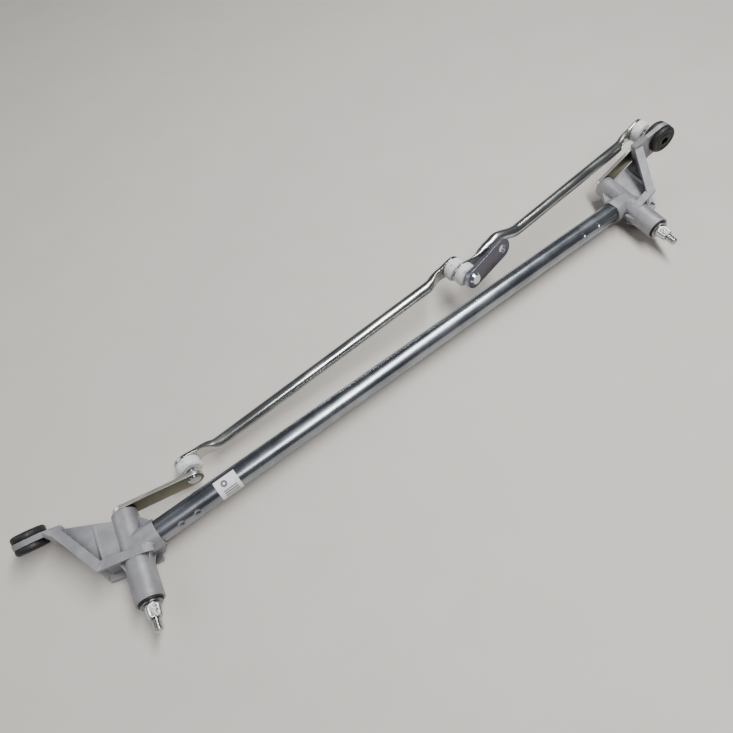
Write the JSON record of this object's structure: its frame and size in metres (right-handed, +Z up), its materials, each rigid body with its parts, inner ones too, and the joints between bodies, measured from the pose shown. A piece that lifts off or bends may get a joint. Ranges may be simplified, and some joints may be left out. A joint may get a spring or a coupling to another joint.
{
  "type": "windshield wiper linkage",
  "caption": "Windshield wiper linkage: two cast pivot housings on a steel tube, wiper shafts with cranks, two ball-jointed links and a motor crank.",
  "frame": {"origin": "middle of the main tube's axis, halfway between the two wiper shafts", "axes": "+X along the main tube to the right-hand shaft, wiper shafts point towards -Y, +Z up on the side where the cranks rise"},
  "size_m": [0.7981, 0.1596, 0.0864],
  "materials": {
    "zinc_tube": "zinc-plated drawn tube, satin with bright streaks",
    "cast_alloy": "die-cast, matt and slightly grainy",
    "rubber": "moulded, matt",
    "sleeve_steel": "turned, zinc-plated",
    "bush_bronze": "sintered bronze, oiled",
    "shaft_steel": "bright knurl and thread",
    "washer_steel": "plain spring steel",
    "crank_zinc": "yellowish zinc plate, bright sheared edges",
    "motor_crank_zinc": "dark blue-grey zinc plate",
    "ball_steel": "polished ball, bright rivet head",
    "link_zinc": "bright zinc-plated pressed tube",
    "socket_nylon": "off-white moulded nylon with grease film",
    "label_paper": "blank white paper label"
  },
  "bodies": {
    "frame": {"main_tube": "zinc_tube", "tube_label": "label_paper", "left_pivot_housing": "cast_alloy", "right_pivot_housing": "cast_alloy", "left_grommet": "rubber", "right_grommet": "rubber", "left_mount_sleeve": "sleeve_steel", "right_mount_sleeve": "sleeve_steel", "left_crank_bush": "bush_bronze", "right_crank_bush": "bush_bronze", "left_tip_bush": "bush_bronze", "right_tip_bush": "bush_bronze", "left_shaft_seal": "rubber", "right_shaft_seal": "rubber"},
    "left_shaft": {"left_wiper_shaft": "shaft_steel", "left_thrust_washer": "washer_steel", "left_retaining_ring": "washer_steel", "left_crank": "crank_zinc", "left_ball_stud": "ball_steel"},
    "right_shaft": {"right_wiper_shaft": "shaft_steel", "right_thrust_washer": "washer_steel", "right_retaining_ring": "washer_steel", "right_crank": "crank_zinc", "right_ball_rivet": "ball_steel"},
    "left_link": {"left_link": "link_zinc", "left_link_outer_socket": "socket_nylon", "left_link_inner_socket": "socket_nylon"},
    "right_link": {"right_link": "link_zinc", "right_link_inner_socket": "socket_nylon", "right_link_outer_socket": "socket_nylon", "right_ball_pin": "ball_steel"},
    "motor_crank": {"motor_crank": "motor_crank_zinc", "motor_ball_stud": "ball_steel"}
  },
  "joints": [
    {"name": "left_shaft_turn", "type": "hinge", "parent": "frame", "child": "left_shaft", "pos_m": [-0.317, 0, 0], "axis": [-0.1478, -0.989, 0], "range_deg": [0, 85]},
    {"name": "right_shaft_turn", "type": "hinge", "parent": "frame", "child": "right_shaft", "pos_m": [0.317, 0, 0], "axis": [-0.1478, -0.989, 0], "range_deg": [0, 60]},
    {"name": "left_link_pivot", "type": "hinge", "parent": "left_shaft", "child": "left_link", "pos_m": [-0.24247, 0.04043, -0.00593], "axis": [-0.1478, -0.989, 0], "range_deg": [-95, 0]},
    {"name": "right_link_pivot", "type": "hinge", "parent": "left_link", "child": "right_link", "pos_m": [0.095, 0.02596, 0.02376], "axis": [-0.1478, -0.989, 0], "range_deg": [-5, 0]},
    {"name": "motor_crank_pivot", "type": "hinge", "parent": "left_link", "child": "motor_crank", "pos_m": [0.0935, 0.0404, 0.02], "axis": [0.1003, -0.9628, 0.2507], "range_deg": [0, 165]}
  ],
  "couplings": [
    {"joint": "right_shaft_turn", "follows": "left_shaft_turn", "ratio": 0.6309},
    {"joint": "left_link_pivot", "follows": "left_shaft_turn", "ratio": -1.0357},
    {"joint": "right_link_pivot", "follows": "left_shaft_turn", "ratio": -0.0298}
  ]
}
